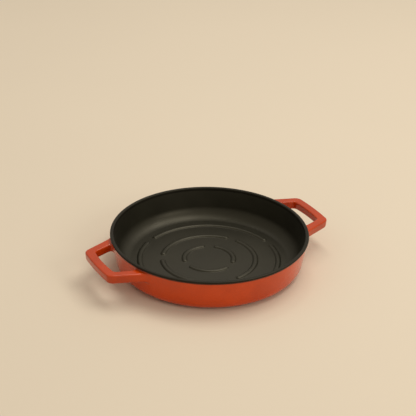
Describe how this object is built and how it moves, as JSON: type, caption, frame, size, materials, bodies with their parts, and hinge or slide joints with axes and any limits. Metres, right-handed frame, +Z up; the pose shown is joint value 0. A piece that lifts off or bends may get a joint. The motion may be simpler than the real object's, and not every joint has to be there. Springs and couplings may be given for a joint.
{
  "type": "two-handled shallow pan",
  "caption": "Round, shallow, enamelled cast-iron pan with a tapered wall, a beaded dark lip, loop handles either side and broken rings of low ridges on a satin black floor.",
  "frame": {"origin": "middle of the flat pad that the pan stands on", "axes": "+X through the middle of the right handle, +Z up, +Y across the handles"},
  "size_m": [0.3296, 0.26, 0.047],
  "materials": {
    "cast_iron": "sand-cast grey iron, hidden under the enamel",
    "red_enamel": "glossy fired orange-red enamel with fine specks",
    "underside_enamel": "the same orange-red enamel, dulled where it meets the hob",
    "rim_enamel": "dark grey-brown enamel, thin and satin over the lip",
    "black_enamel": "satin black fired enamel with a fine pebbled surface",
    "black_ridge": "cast iron under satin black enamel"
  },
  "bodies": {
    "root": {"pan_casting": "cast_iron", "left_handle_casting": "cast_iron", "right_handle_casting": "cast_iron", "black_inside_enamel": "black_enamel", "rim_enamel": "rim_enamel", "red_outside_enamel": "red_enamel", "underside_enamel": "underside_enamel", "left_handle_enamel": "red_enamel", "right_handle_enamel": "red_enamel", "inner_ridge_1": "black_ridge", "inner_ridge_2": "black_ridge", "inner_ridge_3": "black_ridge", "middle_ridge_1": "black_ridge", "middle_ridge_2": "black_ridge", "middle_ridge_3": "black_ridge", "outer_ridge_1": "black_ridge", "outer_ridge_2": "black_ridge", "outer_ridge_3": "black_ridge"}
  },
  "joints": []
}
